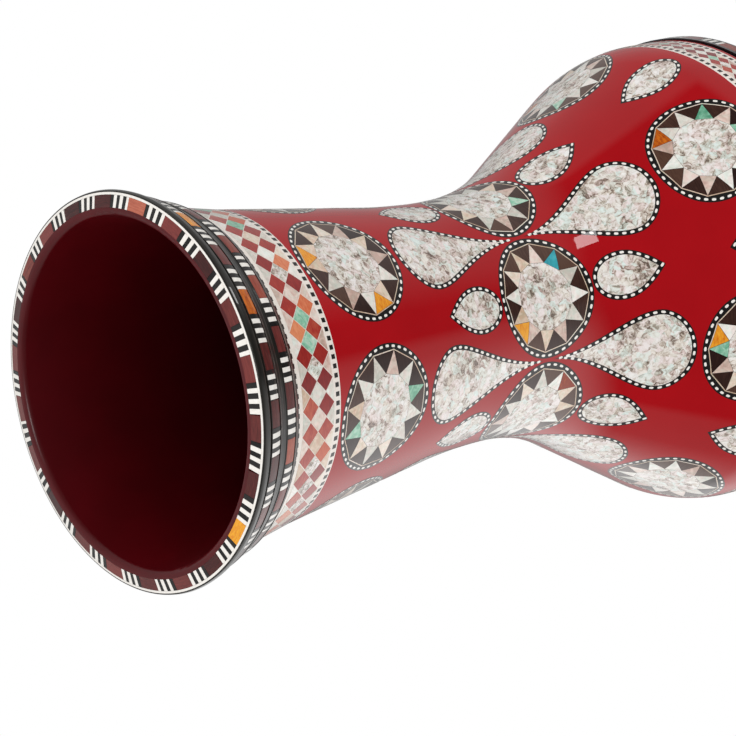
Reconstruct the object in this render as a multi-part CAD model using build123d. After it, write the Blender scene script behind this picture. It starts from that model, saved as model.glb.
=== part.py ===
"""Mosaic darbuka (goblet drum): cast shell, inlaid lacquer coat, head, tension ring and tuning bolts.

Units are millimetres. The drum stands on its bell rim: +Z is the drum's axis, Z = 0 is the plane of
the rim and the head is on top. Sections are written as (radius, z) points and turned about Z.
"""
from build123d import *
import os
from math import asin, atan2, cos, degrees, hypot, pi, radians, sin, sqrt, tan

os.makedirs("parts", exist_ok=True)

# ---- the goblet's outline (finished, lacquered surface) ----
mouth_r = 112.0           # bell mouth, outer edge of the lip
flange_z = 434.0          # top face of the casting, under the tension ring
waist_r = 71.5            # narrowest place of the neck
waist_z = 236.0
bowl_r = 139.0            # bowl wall below the tension ring
upright_h = 34.0          # flange down to where the bowl's cone and its upright wall would meet
# concave sweeps from the bell cone and the bowl cone into the waist, each as a share of the largest
# one that would still meet its cone
bell_sweep_share, bowl_sweep_share = 0.5708, 0.661
shoulder_r = 60.0         # convex shoulder from the bowl cone into its upright wall
band_start_z = 36.3       # foot of the checker band, above the moulded collar
band_start_inset = 14.0   # its radius there, inside the mouth's
band_end_z = 73.5         # end of the checker band, where the red begins
band_end_inset = 21.4

# ---- walls ----
coat_t = 1.2              # lacquer and inlay together
wall_t = 5.0              # aluminium casting
lip_w = 9.0               # mosaic face of the lip
rest_w = 1.4              # narrow ring inside it, that the drum stands on
lip_rise = 2.0            # how far the lip face falls back from its inner to its outer edge
neck_relief = 0.9         # how far the straight neck bore is opened beyond the cast surface
lip_roll_r = 3.5          # rolled inner edge of the lip

# ---- head end ----
head_inset = 26.0         # bearing edge, that the head is stretched over, inside the bowl's radius
bearing_t = 4.5
bearing_h = 16.0          # flange up to the plane of the playing head
flange_t = 10.0
film_t = 0.3
film_gap = 0.3            # head film to the bearing edge's wall
hoop_w, hoop_h = 4.8, 5.0
hoop_rise = 3.5           # flange up to the flesh hoop
ring_proud = 1.0          # tension ring outside the bowl's radius
ring_gap = 2.5            # tension ring to the flange, with the head tuned
ring_h = 14.5
ring_edge_r = 5.0         # rounded outer top edge of the tension ring
ring_foot, ring_brow = 2.2, 0.6    # ring's wall below and above its mosaic channel
ring_clear = 0.6          # tension ring to the head's skirt and to the hoop
bolt_count = 8
bolt_inset = 10.5         # bolt circle inside the bowl's radius
bolt_r = 3.0              # M6
bolt_head_r, bolt_head_h = 5.0, 6.0
bolt_length = 33.5
key_flats, key_depth = 5.0, 3.0
thread_clear = 0.05       # bolt shank in its tapped hole, per side
hole_clear = 0.3          # bolt shank in the ring and in the washer, per side
washer_r, washer_t = 6.0, 1.0
counterbore_clear = 0.3
counterbore_depth = 7.5
boss_r = 8.0
boss_depth = 30.0         # bosses below the flange's top face
tap_depth = 27.0

# ---- inlay ----
repeat = 6                # the pattern repeats six times around the drum
bell_turn, waist_turn, bowl_turn = -1.3, -1.5, -2.5    # degrees, where its three zones start
border_w = 2.9            # rope border of a roundel, drop or leaf
chord_w = 0.4             # dark margin between a star's tips and the border
joint = 0.15              # glue line between two inlaid pieces
# mosaic rows: units around, share of a unit that is its tile, where the first tile starts, and how
# far the hand-laid units wander from even places, both in degrees
lip_units = (22, 0.48, -1.6, 3.0)
row_a_units = (22, 0.48, -5.4, 0.0)
row_b_units = (21, 0.47, 7.3, 0.0)
ring_units = (28, 0.46, 0.0, 0.0)
wander_at = 115.0         # degrees around, where they are furthest ahead
diamond_count = 42
diamond_start = 1.2       # degrees
diamond_share = 0.44      # half width of a diamond, as a share of its pitch
stringing_w = (4.1, 4.7)  # dashed lines at the foot and at the end of the checker band
stringing_gap = 0.8       # dashed line to the diamonds
star_points = 12
star_notch = 0.64         # notch radius of a star, as a share of its tip radius
drop_bend = (0.23, 0.1, 0.56)     # a drop's sides: straight, then slightly hollow to the tip
leaf_bend = (0.44, 0.42, 0.76)    # a leaf's sides: full almost to the tip
drop_point, leaf_point = 2.6, 1.3 # pearl back from the tip, in border widths
# roundels: half width, half height
bell_roundel, waist_roundel, bowl_roundel = (37.0, 36.2), (34.9, 32.6), (35.0, 31.2)
waist_roundel_rise = 11.2         # centre of the waist's roundels above the waist
bell_roundel_gap = 1.4            # bell roundel to the checker band
bowl_roundel_gap = 6.8            # bowl roundel to the shoulder band
# drops: half width, base to widest place, tip short of the waist roundels' centre line
bell_drop, bowl_drop = (23.6, 20.0, 4.2), (25.2, 18.6, 3.8)
drop_gap = 2.8                    # drop to its roundel
# leaves: half width, base to widest place, base to tip
bell_leaf, bowl_leaf, shoulder_leaf = (13.8, 17.6, 44.1), (14.3, 18.6, 41.4), (14.5, 18.0, 42.5)
leaf_gap = 0.5                    # leaf to its roundel
shoulder_leaf_gap = 8.0           # leaf to the shoulder band
shoulder_band_w, shoulder_strip = 25.0, 2.0    # band, and the red strip between it and the flange

# ---- places that follow from them ----
bowl_corner_z = flange_z - upright_h
band_start_r, band_end_r = mouth_r - band_start_inset, mouth_r - band_end_inset


def largest_sweep(run, rise):
    """Radius of a circle that is level at the waist and reaches a point off it by run and rise."""
    return (run ** 2 + rise ** 2) / (2 * rise)


bell_sweep_r = bell_sweep_share * largest_sweep(waist_z - band_end_z, band_end_r - waist_r)
bowl_sweep_r = bowl_sweep_share * largest_sweep(bowl_corner_z - waist_z, bowl_r - waist_r)
lip_rest_r = mouth_r - lip_w
lip_bore_r = lip_rest_r - rest_w
bearing_r = bowl_r - head_inset
bearing_z = flange_z + bearing_h
hoop_z = flange_z + hoop_rise
ring_r = bowl_r + ring_proud
bolt_circle_r = bowl_r - bolt_inset
shoulder_band = (flange_z - shoulder_strip - shoulder_band_w, flange_z - shoulder_strip)
waist_roundel_z = waist_z + waist_roundel_rise
ring_z = flange_z + ring_gap
ring_top_z = ring_z + ring_h


# ---- small helpers ----
def turned(points, start=0.0, arc=360.0):
    """Turn a closed (radius, z) outline about Z, from one angle through an arc, in degrees."""
    loop = [Vector(r, 0, z) for r, z in points]
    face = Face(Wire([Line(a, b).edge() for a, b in zip(loop, loop[1:] + loop[:1])]))
    return Rot(0, 0, start) * revolve(face, Axis.Z, arc)


def around(solids, count, start=0.0):
    """Copies of some solids, evenly spaced around Z."""
    return [Rot(0, 0, start + 360.0 * i / count) * s for i in range(count) for s in solids]


def save(name, solids):
    """Write one node: a single solid as itself, several as a group."""
    flat = [s for item in solids for s in item.solids()]
    shape = flat[0] if len(flat) == 1 else Compound(children=flat)
    shape.label = name
    export_step(shape, "parts/" + name + ".step")


# ---- the goblet's profile ----
def tangent_angle(point, centre, radius, side):
    """Direction of the line from a point that touches a circle, both in (z, r)."""
    dz, dr = centre[0] - point[0], centre[1] - point[1]
    return atan2(dr, dz) + side * asin(radius / hypot(dz, dr))


bell_centre = (waist_z, waist_r + bell_sweep_r)
bowl_centre = (waist_z, waist_r + bowl_sweep_r)
bell_angle = tangent_angle((band_end_z, band_end_r), bell_centre, bell_sweep_r, -1)
bowl_angle = tangent_angle((bowl_corner_z, bowl_r), bowl_centre, bowl_sweep_r, 1) - pi
shoulder_run = shoulder_r * tan(bowl_angle / 2)
shoulder_centre = (bowl_corner_z + shoulder_run, bowl_r - shoulder_r)


def on_circle(centre, radius, angle):
    """A point of a sweep, as (r, z); the angle is the surface's own slope there."""
    return centre[1] - radius * cos(angle), centre[0] + radius * sin(angle)


def profile(depth, end_z):
    """Edges of the goblet's outline at a depth below its surface, from the band's end to a height."""
    bell, bowl, edge = bell_sweep_r + depth, bowl_sweep_r + depth, shoulder_r - depth
    t1 = on_circle(bell_centre, bell, bell_angle)
    start = (t1[0] + (band_end_z - t1[1]) * tan(bell_angle), band_end_z)
    waist = on_circle(bell_centre, bell, 0)
    t2 = on_circle(bowl_centre, bowl, bowl_angle)
    s1 = on_circle(shoulder_centre, -edge, bowl_angle)
    s2 = (shoulder_centre[1] + edge, shoulder_centre[0])
    stops = [("line", start, t1),
             ("arc", t1, on_circle(bell_centre, bell, bell_angle / 2), waist),
             ("arc", waist, on_circle(bowl_centre, bowl, bowl_angle / 2), t2),
             ("line", t2, s1),
             ("arc", s1, on_circle(shoulder_centre, -edge, bowl_angle / 2), s2)]
    if end_z > s2[1]:
        stops.append(("line", s2, (s2[0], end_z)))
    return stops


def edges_of(stops):
    made = []
    for kind, *points in stops:
        spots = [Vector(r, 0, z) for r, z in points]
        made.append(Line(*spots).edge() if kind == "line" else ThreePointArc(*spots).edge())
    return made


def backwards(stops):
    return [(kind, *reversed(points)) for kind, *points in reversed(stops)]


def polyline(points):
    return [("line", a, b) for a, b in zip(points, points[1:])]


def turned_edges(stops):
    return revolve(Face(Wire(edges_of(stops))), Axis.Z, 360)


def lip_z(r, depth=0.0):
    """Height of the lip's face at a radius, or of a plane below it."""
    return lip_rise * (r - lip_rest_r) / (mouth_r - lip_rest_r) + depth


# ---- shell casting ----
lip_seat_r = mouth_r - 2.8          # the casting's own edge, inside the collar coat
collar_seat_z = 4.2
bearing_land = 1.0                  # width of the bearing edge's crown and of its chamfers
band_slope = (band_end_r - band_start_r) / (band_end_z - band_start_z)
band_depth = coat_t / cos(atan2(band_end_r - band_start_r, band_end_z - band_start_z))
cast_start = profile(coat_t, flange_z)[0][1]
neck_bore_r = waist_r - coat_t - wall_t + neck_relief
cavity_depth = coat_t + wall_t


def bore_reach(sweep_r):
    """Half the straight stretch of the neck bore, on the side of one sweep."""
    deep = sweep_r + cavity_depth
    return sqrt(deep ** 2 - (deep - neck_relief) ** 2)


def roll(angle):
    """A point of the lip's rolled inner edge; the angle is the surface's own slope there."""
    return lip_bore_r - lip_roll_r * cos(angle), lip_roll_r * (1 - sin(angle))


def mouth_sweep(wall_foot):
    """Inside of the mouth: from the bell's inner cone down to the rolled edge of the lip."""
    r1, z1 = wall_foot
    flare = -bell_angle
    for _ in range(5):              # settles the slope where the sweep meets the rolled edge
        r0, z0 = roll(flare)
        chord_angle = atan2(r0 - r1, z1 - z0)
        flare = 2 * chord_angle + bell_angle
    bow = hypot(r0 - r1, z1 - z0) / 2 * tan((flare + bell_angle) / 4)
    mid = ((r0 + r1) / 2 - bow * cos(chord_angle), (z0 + z1) / 2 - bow * sin(chord_angle))
    return [("arc", wall_foot, mid, (r0, z0)),
            ("arc", (r0, z0), roll((flare + pi / 2) / 2), (lip_bore_r, 0))]


def shell_casting():
    outer = profile(coat_t, flange_z)
    edge_in = bearing_r - bearing_t
    inner = profile(cavity_depth, flange_z)[:-1]
    low_z, high_z = waist_z - bore_reach(bell_sweep_r), waist_z + bore_reach(bowl_sweep_r)
    deep_bell, deep_bowl = bell_sweep_r + cavity_depth, bowl_sweep_r + cavity_depth
    low_angle, high_angle = asin((low_z - waist_z) / deep_bell), asin((high_z - waist_z) / deep_bowl)
    t1, t2 = inner[1][1], inner[2][3]
    bell_arc = ("arc", t1, on_circle(bell_centre, deep_bell, (bell_angle + low_angle) / 2),
                (neck_bore_r, low_z))
    bowl_arc = ("arc", (neck_bore_r, high_z),
                on_circle(bowl_centre, deep_bowl, (bowl_angle + high_angle) / 2), t2)
    bore = ("line", (neck_bore_r, low_z), (neck_bore_r, high_z))
    cavity = [inner[0], bell_arc, bore, bowl_arc] + inner[3:]
    wall_top, wall_foot = cavity[-1][-1], cavity[0][1]
    lip = [(lip_bore_r, 0), (lip_rest_r, 0), (lip_rest_r, lip_z(lip_rest_r, coat_t)),
           (lip_seat_r, lip_z(lip_seat_r, coat_t)), (lip_seat_r, collar_seat_z),
           (band_start_r - band_depth, band_start_z), cast_start]
    top = [(bowl_r - coat_t, flange_z), (bearing_r, flange_z), (bearing_r, bearing_z - bearing_land),
           (bearing_r - bearing_land, bearing_z), (bearing_r - 2.5 * bearing_land, bearing_z),
           (edge_in, bearing_z - 2 * bearing_land), (edge_in, flange_z - flange_t), wall_top]
    body = turned_edges(polyline(lip) + outer + polyline(top) + backwards(cavity) + mouth_sweep(wall_foot))

    # bosses for the tuning bolts, kept inside the casting's own outline
    envelope = turned_edges(outer + polyline([outer[-1][-1], (0, flange_z), (0, band_end_z), cast_start]))
    boss = Pos(bolt_circle_r, 0, flange_z - boss_depth) * Cylinder(
        boss_r, boss_depth, align=(Align.CENTER, Align.CENTER, Align.MIN))
    body = body + around([boss & envelope], bolt_count)
    tap = Pos(bolt_circle_r, 0, flange_z - tap_depth) * Cylinder(
        bolt_r, tap_depth, align=(Align.CENTER, Align.CENTER, Align.MIN))
    return body - around([tap], bolt_count)


# ---- mosaic rows: tiles with a block of laminated slips between each two ----
def row(name, outline, units):
    """Tiles of one outline around the drum, and a block of ebony and bone slips in each gap."""
    count, tile_share, turn, wander = units
    pitch = 360.0 / count
    tile = pitch * tile_share
    gap = degrees(joint / max(r for r, z in outline))
    even = [turn + pitch * k for k in range(count + 1)]
    starts = [a + wander * cos(radians(a - wander_at)) for a in even]
    save(name + "_tiles", [turned(outline, a + gap / 2, tile - gap) for a in starts[:-1]])
    save(name + "_slip_blocks", [turned(outline, a + tile + gap / 2, b - a - tile - gap)
                                 for a, b in zip(starts, starts[1:])])


def slab(inner_r, outer_r):
    """Outline of an inlay on the lip's face, between two radii."""
    return [(inner_r, lip_z(inner_r)), (outer_r, lip_z(outer_r)),
            (outer_r, lip_z(outer_r, coat_t)), (inner_r, lip_z(inner_r, coat_t))]


lip_line_r = mouth_r - 2.1          # inside of the white line around the lip
lip_edge_r = mouth_r - 0.8          # outside of the white line
bead_t = 1.0                        # thickness of the collar's two mosaic rows
bead_crown = 0.35
row_a = ((mouth_r - 2.5, 9.8), (mouth_r - 4.9, 16.9))    # outer edges of the rows, as (radius, z)
row_b = ((mouth_r - 8.3, 25.2), (mouth_r - 10.1, 31.8))


def bead(edges):
    """Outline of a crowned mosaic row on the collar."""
    (r0, z0), (r1, z1) = edges
    mid = ((r0 + r1) / 2 + bead_crown, (z0 + z1) / 2)
    return [(r0, z0), mid, (r1, z1), (r1 - bead_t, z1), (r0 - bead_t, z0)]


def lip_and_collar():
    row("lip", slab(lip_rest_r, lip_line_r - joint), lip_units)
    save("lip_white_line", [turned(slab(lip_line_r, lip_edge_r))])
    row("collar_row_a", bead(row_a), row_a_units)
    row("collar_row_b", bead(row_b), row_b_units)

    # black moulding that carries the two rows, with a step down to the checker band
    edge = 0.3
    outline = [(lip_edge_r, lip_z(lip_edge_r)), (mouth_r, lip_z(mouth_r)),
               (mouth_r + 0.4, 4.0), (mouth_r - 0.4, 6.6), (mouth_r - 3.2, 8.0)]
    for (r0, z0), (r1, z1) in (row_a, row_b):
        outline += [(r0 - edge, z0 - 1.0), (r0 + edge, z0), (r0 - bead_t, z0),
                    (r1 - bead_t, z1), (r1 + edge, z1), (r1 - 1.3, z1 + 1.0)]
    outline += [(band_start_r + 1.4, band_start_z), (band_start_r - band_depth, band_start_z),
                (lip_seat_r, collar_seat_z), (lip_seat_r, lip_z(lip_seat_r, coat_t)),
                (lip_edge_r, lip_z(lip_edge_r, coat_t))]
    save("collar_moulding", [turned(outline)])


# ---- coat and the bands of diamonds ----
def coat_ring(low_z, high_z):
    """The layer of lacquer and inlay between two heights."""
    outer, inner = profile(0, flange_z), profile(coat_t, flange_z)
    layer = turned_edges(outer + [("line", outer[-1][-1], inner[-1][-1])] + backwards(inner)
                         + [("line", inner[0][1], outer[0][1])])
    slab_h = high_z - low_z
    keep = Pos(0, 0, low_z) * Cylinder(2 * bowl_r, slab_h, align=(Align.CENTER, Align.CENTER, Align.MIN))
    return layer & keep


def band_layer():
    """The conical layer under the bell's checker band."""
    return turned([(band_start_r, band_start_z), (band_end_r, band_end_z), cast_start,
                   (band_start_r - band_depth, band_start_z)])


def prism(points):
    """A radial prism on the +X side, from a closed (y, z) outline."""
    loop = [Vector(waist_r / 2, y, z) for y, z in points]
    face = Face(Wire([Line(a, b).edge() for a, b in zip(loop, loop[1:] + loop[:1])]))
    return extrude(face, bowl_r + ring_r - waist_r, Vector(1, 0, 0))


def cut_from(layer, tools):
    """The pieces that radial prisms cut out of a layer, on the +X side."""
    return [s for tool in tools for s in (layer & tool).solids()]


def diamond_band(layer, low_z, high_z, count, radius_at):
    """Two rows of diamonds, tip to tip, with pearl diamonds between and ivory halves at the edges."""
    pitch = 2 * pi / count
    half = (high_z - low_z) / 4
    mid = (low_z + high_z) / 2
    rows = (low_z + half, high_z - half)

    def half_width(z):
        return radius_at(z) * sin(diamond_share * pitch)

    red = [prism([(0, z - half + joint), (half_width(z), z), (0, z + half - joint), (-half_width(z), z)])
           for z in rows]
    wide = half_width(mid)
    pearl = [prism([(0, mid - half + 2 * joint), (wide, mid), (0, mid + half - 2 * joint), (-wide, mid)])]
    edge = [prism([(-half_width(foot), foot), (half_width(foot), foot), (0, tip)])
            for foot, tip in ((low_z, rows[0] - 2 * joint), (high_z, rows[1] + 2 * joint))]
    turn = degrees(pitch) / 2
    save("checker_red_diamonds", around(cut_from(layer, red), count, diamond_start))
    save("checker_pearl_diamonds", around(cut_from(layer, pearl), count, diamond_start + turn))
    save("checker_ivory_edges", around(cut_from(layer, edge), count, diamond_start + turn))


def band_r(z):
    """Radius of the checker band's surface."""
    return band_start_r + (z - band_start_z) * band_slope


def stringing(name, low_z, high_z):
    """A dashed line of inlay around the checker band."""
    save(name, [turned([(band_r(low_z), low_z), (band_r(high_z), high_z),
                        (band_r(high_z) - coat_t, high_z), (band_r(low_z) - coat_t, low_z)])])


def bands():
    margin = 0.1
    low_line = (band_start_z + margin, band_start_z + stringing_w[0])
    high_line = (band_end_z - stringing_w[1], band_end_z - margin)
    stringing("lower_stringing", *low_line)
    stringing("upper_stringing", *high_line)
    diamond_band(band_layer(), low_line[1] + stringing_gap, high_line[0] - stringing_gap,
                 diamond_count, band_r)
    save("shoulder_band", [coat_ring(*shoulder_band)])


# ---- roundels, drops and leaves ----
def scaled_loop(half_w, half_h, z, share, points=star_points, turn=0.0):
    """Corners of a regular polygon stretched onto an ellipse, as (y, z)."""
    return [(share * half_w * sin(2 * pi * (k + turn) / points),
             z + share * half_h * cos(2 * pi * (k + turn) / points)) for k in range(points)]


def oval(half_w, half_h, z):
    """A radial prism with an elliptical outline."""
    plane = Plane(origin=(waist_r / 2, 0, z), x_dir=(0, 1, 0), z_dir=(1, 0, 0))
    return extrude(plane * Ellipse(half_w, half_h), bowl_r + ring_r - waist_r)


def roundel(name, layer, half_w, half_h, z, start):
    """Star roundel: rope border, ebony ground and a twelve-pointed star of pearl."""
    pocket = oval(half_w, half_h, z)
    frame = 1 - border_w / half_h
    field = oval(half_w * frame, half_h * frame, z)
    tip = frame - chord_w / half_h
    tips = scaled_loop(half_w, half_h, z, tip)
    notches = scaled_loop(half_w, half_h, z, tip * star_notch, turn=0.5)
    star = prism([corner for pair in zip(tips, notches) for corner in pair])
    for part, tool in (("borders", pocket - field), ("grounds", field - star), ("stars", star)):
        save(name + "_" + part, around(cut_from(layer, [tool]), repeat, start))
    return around([pocket], repeat, start)


def drawn_out(half_w, base_z, widest_z, tip_z, reach, pinch_w, pinch_at):
    """A radial prism: half an oval at its base, drawn out from its widest place to a tip.

    reach and pinch_at are shares of the way to the tip, pinch_w a share of the half width; they
    bend the two long sides.
    """
    round_share = 0.5523              # a quarter oval as one cubic curve
    x, away, back = waist_r / 2, tip_z - widest_z, base_z - widest_z
    base, tip = Vector(x, 0, base_z), Vector(x, 0, tip_z)
    outline = []
    for side in (1, -1):
        wide = side * half_w
        widest = Vector(x, wide, widest_z)
        outline += [Bezier(widest, Vector(x, wide, widest_z + round_share * back),
                           Vector(x, round_share * wide, base_z), base).edge(),
                    Bezier(widest, Vector(x, wide, widest_z + reach * away),
                           Vector(x, pinch_w * wide, widest_z + pinch_at * away), tip).edge()]
    return extrude(Face(Wire(outline)), bowl_r + ring_r - waist_r, Vector(1, 0, 0))


def bordered(name, layer, outer, inner, start):
    """A drop or leaf of crushed pearl in its rope border."""
    save(name + "_borders", around(cut_from(layer, [outer - inner]), repeat, start))
    save(name + "_pearls", around(cut_from(layer, [inner]), repeat, start))
    return around([outer], repeat, start)


def ornament():
    """All the motifs in the red field, and the red lacquer with a pocket for each of them."""
    field = coat_ring(band_end_z, shoulder_band[0])
    half_turn = 180.0 / repeat
    bell_z = band_end_z + bell_roundel_gap + bell_roundel[1]
    bowl_z = shoulder_band[0] - bowl_roundel_gap - bowl_roundel[1]
    pockets = roundel("bell_roundel", field, *bell_roundel, bell_z, half_turn + bell_turn)
    pockets += roundel("waist_roundel", field, *waist_roundel, waist_roundel_z, waist_turn)
    pockets += roundel("bowl_roundel", field, *bowl_roundel, bowl_z, half_turn + bowl_turn)

    def shape(name, start, size, base_z, tip_z, bend, point):
        half_w, to_widest = size[:2]
        up = 1 if tip_z > base_z else -1
        outer = drawn_out(half_w, base_z, base_z + up * to_widest, tip_z, *bend)
        inner = drawn_out(half_w - border_w, base_z + up * border_w, base_z + up * to_widest,
                          tip_z - up * point * border_w, *bend)
        return bordered(name, field, outer, inner, start)

    bell_base = bell_z + bell_roundel[1] + drop_gap
    bowl_base = bowl_z - bowl_roundel[1] - drop_gap
    drop_turn = half_turn + waist_turn
    pockets += shape("bell_drop", drop_turn, bell_drop, bell_base, waist_roundel_z - bell_drop[2],
                     drop_bend, drop_point)
    pockets += shape("bowl_drop", drop_turn, bowl_drop, bowl_base, waist_roundel_z + bowl_drop[2],
                     drop_bend, drop_point)
    reach = waist_roundel[1] + leaf_gap
    shoulder_base = shoulder_band[0] - shoulder_leaf_gap
    for name, turn, size, base_z, up in (
            ("bell_leaf", waist_turn, bell_leaf, waist_roundel_z - reach, -1),
            ("bowl_leaf", bowl_turn, bowl_leaf, waist_roundel_z + reach, 1),
            ("shoulder_leaf", bowl_turn, shoulder_leaf, shoulder_base, -1)):
        pockets += shape(name, turn, size, base_z, base_z + up * size[2], leaf_bend, leaf_point)
    top_strip = coat_ring(shoulder_band[1], flange_z)
    save("red_lacquer", [field - pockets, top_strip])


# ---- head, tension ring and bolts ----
def head():
    skirt_in = bearing_r + film_gap
    skirt_out = skirt_in + film_t
    slope = bearing_land - 0.1
    save("drum_head", [turned([
        (0, bearing_z), (skirt_in - slope, bearing_z), (skirt_in, bearing_z - slope), (skirt_in, hoop_z),
        (skirt_out, hoop_z), (skirt_out, bearing_z - slope + film_t / 2),
        (skirt_out - slope, bearing_z + film_t), (0, bearing_z + film_t)])])
    save("flesh_hoop", [turned([
        (skirt_out, hoop_z), (skirt_out + hoop_w, hoop_z), (skirt_out + hoop_w, hoop_z + hoop_h),
        (skirt_out, hoop_z + hoop_h)])])
    return skirt_out


def tension_ring(skirt_out):
    inner = skirt_out + ring_clear
    pocket_r = skirt_out + hoop_w + ring_clear
    press_z = hoop_z + hoop_h
    low, high = ring_z + ring_foot, ring_top_z - ring_edge_r - ring_brow
    channel = coat_t
    bend = ring_edge_r * (1 - sin(pi / 4))
    outer = [("line", (pocket_r, ring_z), (ring_r, ring_z)), ("line", (ring_r, ring_z), (ring_r, low)),
             ("line", (ring_r, low), (ring_r - channel, low)),
             ("line", (ring_r - channel, low), (ring_r - channel, high)),
             ("line", (ring_r - channel, high), (ring_r, high)),
             ("line", (ring_r, high), (ring_r, ring_top_z - ring_edge_r)),
             ("arc", (ring_r, ring_top_z - ring_edge_r), (ring_r - bend, ring_top_z - bend),
              (ring_r - ring_edge_r, ring_top_z))]
    ease = 2.0
    outer += polyline([(ring_r - ring_edge_r, ring_top_z), (inner + ease, ring_top_z),
                       (inner, ring_top_z - ease), (inner, press_z), (pocket_r, press_z),
                       (pocket_r, ring_z)])
    ring = turned_edges(outer)
    seat_z = ring_top_z - counterbore_depth
    hole = Pos(bolt_circle_r, 0, ring_z - 1) * Cylinder(
        bolt_r + hole_clear, ring_h, align=(Align.CENTER, Align.CENTER, Align.MIN))
    sink = Pos(bolt_circle_r, 0, seat_z) * Cylinder(
        washer_r + counterbore_clear, ring_h, align=(Align.CENTER, Align.CENTER, Align.MIN))
    save("tension_ring", [ring - around([hole, sink], bolt_count)])
    row("ring", [(ring_r - channel, low), (ring_r, low), (ring_r, high), (ring_r - channel, high)],
        ring_units)
    washer = Pos(bolt_circle_r, 0, seat_z) * (
        Cylinder(washer_r, washer_t, align=(Align.CENTER, Align.CENTER, Align.MIN))
        - Cylinder(bolt_r + hole_clear, 3 * washer_t))
    save("ring_washers", around([washer], bolt_count))
    return seat_z + washer_t


def tuning_bolts(seat_z):
    up = (Align.CENTER, Align.CENTER, Align.MIN)
    down = (Align.CENTER, Align.CENTER, Align.MAX)
    cap = Cylinder(bolt_head_r, bolt_head_h, align=up)
    cap = chamfer(cap.edges().group_by(Axis.Z)[-1], 0.5)
    key = Pos(0, 0, bolt_head_h - key_depth) * extrude(
        RegularPolygon(key_flats / sqrt(3), 6), 2 * key_depth)
    bolt = (cap - key) + Cylinder(bolt_r - thread_clear, bolt_length, align=down)
    for i in range(bolt_count):
        place = Rot(0, 0, 360.0 * i / bolt_count) * Pos(bolt_circle_r, 0, seat_z)
        save("tuning_bolt_" + str(i + 1), [place * bolt])


save("shell_casting", [shell_casting()])
lip_and_collar()
bands()
ornament()
tuning_bolts(tension_ring(head()))
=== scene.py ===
import math
import random

import bmesh
import bpy
import numpy as np
from mathutils import Matrix, Vector


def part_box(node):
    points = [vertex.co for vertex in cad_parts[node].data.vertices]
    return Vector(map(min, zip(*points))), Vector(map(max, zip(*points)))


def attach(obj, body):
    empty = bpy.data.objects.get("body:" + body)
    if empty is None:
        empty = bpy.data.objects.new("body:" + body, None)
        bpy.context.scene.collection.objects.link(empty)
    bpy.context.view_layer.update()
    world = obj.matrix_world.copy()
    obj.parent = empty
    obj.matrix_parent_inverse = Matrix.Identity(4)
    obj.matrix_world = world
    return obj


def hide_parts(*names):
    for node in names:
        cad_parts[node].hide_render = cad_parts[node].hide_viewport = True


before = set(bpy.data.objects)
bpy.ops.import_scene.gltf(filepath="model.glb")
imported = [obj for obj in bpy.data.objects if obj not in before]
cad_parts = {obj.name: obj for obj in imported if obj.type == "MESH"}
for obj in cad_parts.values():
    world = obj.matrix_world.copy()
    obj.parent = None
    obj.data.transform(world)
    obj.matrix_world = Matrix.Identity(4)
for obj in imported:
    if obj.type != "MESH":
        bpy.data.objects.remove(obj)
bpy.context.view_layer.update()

# Looks of a mosaic goblet drum, built around its fixed frame.
# Inlays are drawn flat as (across, up) in millimetres and wrapped onto the goblet's turned surface.
print("frame loaded:", len(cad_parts), "nodes")

mm = 0.001
goblet = {                          # the finished surface, mm
    "bandStart": (36.3, 98.0),      # (height, radius)
    "bandEnd": (73.5, 90.6),
    "waist": (236.0, 71.5),
    "bellSweep": 400.0,
    "bowlSweep": 154.0,
    "corner": (400.0, 139.0),
    "shoulder": 60.0,
    "segments": 288,                # flats around a turned piece
}
inlay = {
    "bed": 0.12,                    # depth of the lacquer that the inlays lie on
    "ground": 0.06,                 # depth of a black bed between inlays
    "joint": 0.14,                  # glue line
    "grid": 4.0,                    # largest face of a wrapped piece
    "repeat": 6,
    "seed": 11,
}
rng = random.Random(inlay["seed"])


# colour and nodes
def hexColor(code):
    channels = [int(code[i:i + 2], 16) / 255 for i in (1, 3, 5)]
    linear = [c / 12.92 if c <= 0.04045 else ((c + 0.055) / 1.055) ** 2.4 for c in channels]
    return (*linear, 1.0)


def addNode(tree, kind, settings=None, inputs=None):
    node = tree.nodes.new(kind)
    for key, value in (settings or {}).items():
        if key != "stops":
            setattr(node, key, value)
            continue
        elements = node.color_ramp.elements             # a ramp's stops: (place, sRGB hex)
        while len(elements) < len(value):
            elements.new(0.5)
        for element, (place, code) in zip(elements, value):
            element.position = place
            element.color = hexColor(code)
    for key, value in (inputs or {}).items():
        if isinstance(value, bpy.types.NodeSocket):
            tree.links.new(value, node.inputs[key])
        else:
            node.inputs[key].default_value = value
    return node


def newMaterial(name):
    material = bpy.data.materials.new(name)
    material.use_nodes = True
    material.node_tree.nodes.clear()
    return material, material.node_tree


def closeMaterial(tree, shader):
    addNode(tree, "ShaderNodeOutputMaterial", inputs={"Surface": shader.outputs[0]})


# every inlay lies under the same polished clear coat
clearCoat = {"Coat Weight": 1.0, "Coat Roughness": 0.03, "Coat IOR": 1.5}


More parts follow.
